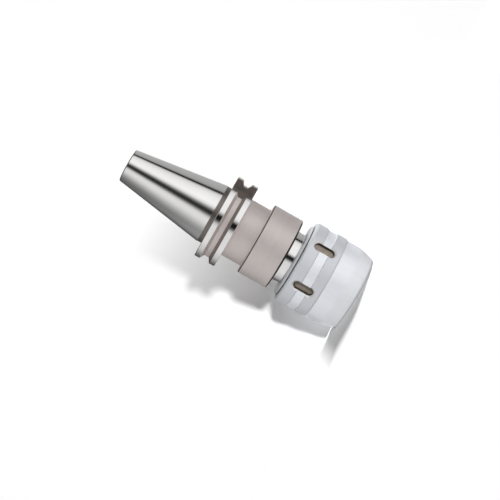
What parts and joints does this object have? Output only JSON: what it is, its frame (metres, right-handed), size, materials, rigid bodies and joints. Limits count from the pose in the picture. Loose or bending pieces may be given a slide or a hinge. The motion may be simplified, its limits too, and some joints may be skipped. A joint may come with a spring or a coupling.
{
  "type": "collet chuck holder",
  "caption": "Steep-taper tool holder with a V-flange and a needle-roller clamping nut that squeezes a straight collet.",
  "frame": {"origin": "centre of the nut's front face, on which the holder stands", "axes": "+Z along the spindle axis from the nose to the taper's small end, drive slots on +X and -X"},
  "size_m": [0.0624, 0.0636, 0.1825],
  "materials": {
    "body_steel": "ground shank and flange, matte hardened collar",
    "nut_steel": "satin, finely turned",
    "collet_steel": "ground",
    "bearing_steel": "polished",
    "cage_steel": "satin",
    "spring_steel": "black oxide",
    "seal_rubber": "matte"
  },
  "bodies": {
    "holder": {"holder_body": "body_steel", "stop_ring": "spring_steel", "nose_seal": "seal_rubber", "straight_collet": "collet_steel"},
    "nut_carrier": {"wiper_seal": "seal_rubber"},
    "nut": {"lock_nut": "nut_steel", "rear_cover": "nut_steel", "cover_seal": "seal_rubber", "nut_snap_ring": "spring_steel"},
    "cage_carrier": {"back_washer": "bearing_steel"},
    "cage": {"roller_cage": "cage_steel", "front_washer": "bearing_steel", "rollers_front": "bearing_steel", "rollers_middle": "bearing_steel", "rollers_back": "bearing_steel"},
    "screw_carrier": {"screw_oring": "seal_rubber"},
    "screw": {"stop_screw": "spring_steel"}
  },
  "joints": [
    {"name": "nut_travel", "type": "slide", "parent": "holder", "child": "nut_carrier", "axis": [0, 0, 1], "range_m": [0, 0.006]},
    {"name": "nut_turn", "type": "hinge", "parent": "nut_carrier", "child": "nut", "pos_m": [0, 0, 0.0236], "axis": [0, 0, 1], "range_deg": [0, 540]},
    {"name": "cage_travel", "type": "slide", "parent": "holder", "child": "cage_carrier", "axis": [0, 0, 1], "range_m": [0, 0.003]},
    {"name": "cage_turn", "type": "hinge", "parent": "cage_carrier", "child": "cage", "pos_m": [0, 0, 0.0278], "axis": [0, 0, 1], "range_deg": [0, 270]},
    {"name": "screw_travel", "type": "slide", "parent": "holder", "child": "screw_carrier", "axis": [0, 0, -1], "range_m": [0, 0.012]},
    {"name": "screw_turn", "type": "hinge", "parent": "screw_carrier", "child": "screw", "pos_m": [0, 0, 0.0908], "axis": [0, 0, -1], "range_deg": [0, 2160]}
  ],
  "couplings": [
    {"joint": "nut_travel", "follows": "nut_turn", "m_per_rad": 0.00063662},
    {"joint": "cage_turn", "follows": "nut_turn", "ratio": 0.5},
    {"joint": "cage_travel", "follows": "nut_turn", "m_per_rad": 0.00031831},
    {"joint": "screw_turn", "follows": "screw_travel", "rad_per_m": 3141.6}
  ]
}
